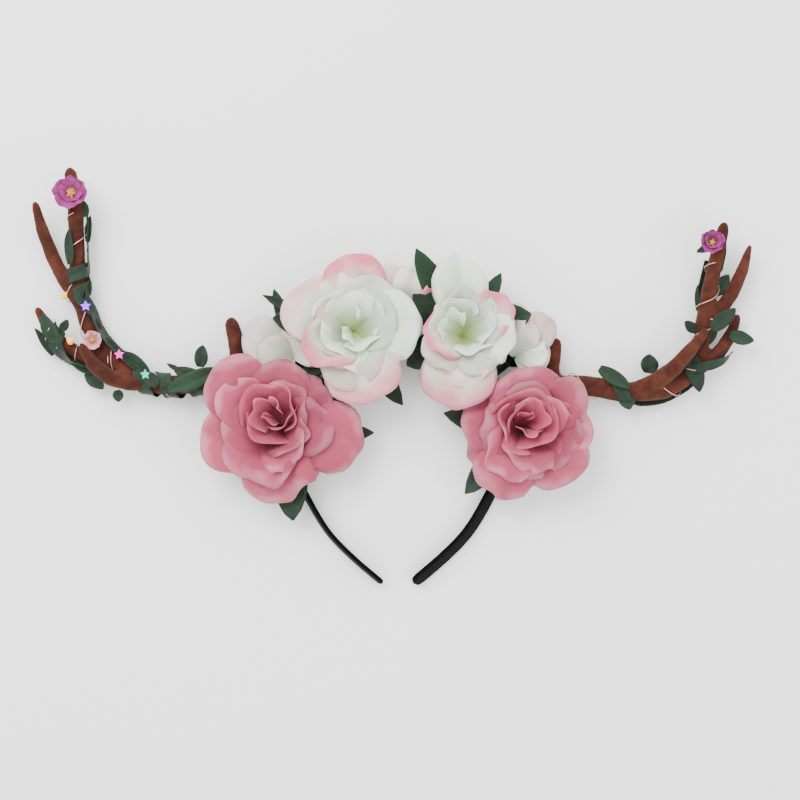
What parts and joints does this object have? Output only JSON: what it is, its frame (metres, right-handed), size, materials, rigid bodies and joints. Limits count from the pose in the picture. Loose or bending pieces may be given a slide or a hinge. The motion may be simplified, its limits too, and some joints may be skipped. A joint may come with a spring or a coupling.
{
  "type": "reindeer antler headband",
  "caption": "Black cloth-covered headband with felt reindeer antlers, silk roses, satin leaves, leafy garlands and small lamps.",
  "frame": {"origin": "middle of the band's back edge at the top of its arch, where that edge lies on the surface", "axes": "+X to the right across the head seen from the front, +Y from the band's free ends to the top of its arch, +Z out of the front; the part lies on its back on the plane z = 0"},
  "size_m": [0.4344, 0.2527, 0.0462],
  "materials": {
    "band_cloth": "fine black woven satin",
    "antler_felt": "short brown felt nap",
    "pink_silk": "dusty pink silk, deeper in the folds",
    "white_silk": "white silk with green throats and pink tips",
    "leaf_satin": "dark green satin with pressed veins",
    "garland_green": "dark green ribbon",
    "lamp_shell": "clear drop over a small lamp",
    "violet_silk": "violet ruffled cloth",
    "blush_silk": "pale pink cloth"
  },
  "bodies": {
    "root": {"antler_left": "antler_felt", "antler_right": "antler_felt", "flower_side": "blush_silk", "flower_tip_left": "violet_silk", "flower_tip_right": "violet_silk", "garland_left": "garland_green", "garland_right": "garland_green", "headband": "band_cloth", "lamp_1": "lamp_shell", "lamp_2": "lamp_shell", "lamp_3": "lamp_shell", "lamp_4": "lamp_shell", "lamp_5": "lamp_shell", "lamp_6": "lamp_shell", "leaf_01": "leaf_satin", "leaf_02": "leaf_satin", "leaf_03": "leaf_satin", "leaf_04": "leaf_satin", "leaf_05": "leaf_satin", "leaf_06": "leaf_satin", "leaf_07": "leaf_satin", "leaf_08": "leaf_satin", "leaf_09": "leaf_satin", "leaf_10": "leaf_satin", "leaf_11": "leaf_satin", "leaf_12": "leaf_satin", "leaf_13": "leaf_satin", "leaf_14": "leaf_satin", "leaf_15": "leaf_satin", "leaf_16": "leaf_satin", "leaf_17": "leaf_satin", "petal_low": "white_silk", "rose_pink_left": "pink_silk", "rose_pink_right": "pink_silk", "rose_side_left": "white_silk", "rose_side_right": "white_silk", "rose_top": "white_silk", "rose_white_left": "white_silk", "rose_white_right": "white_silk"}
  },
  "joints": []
}
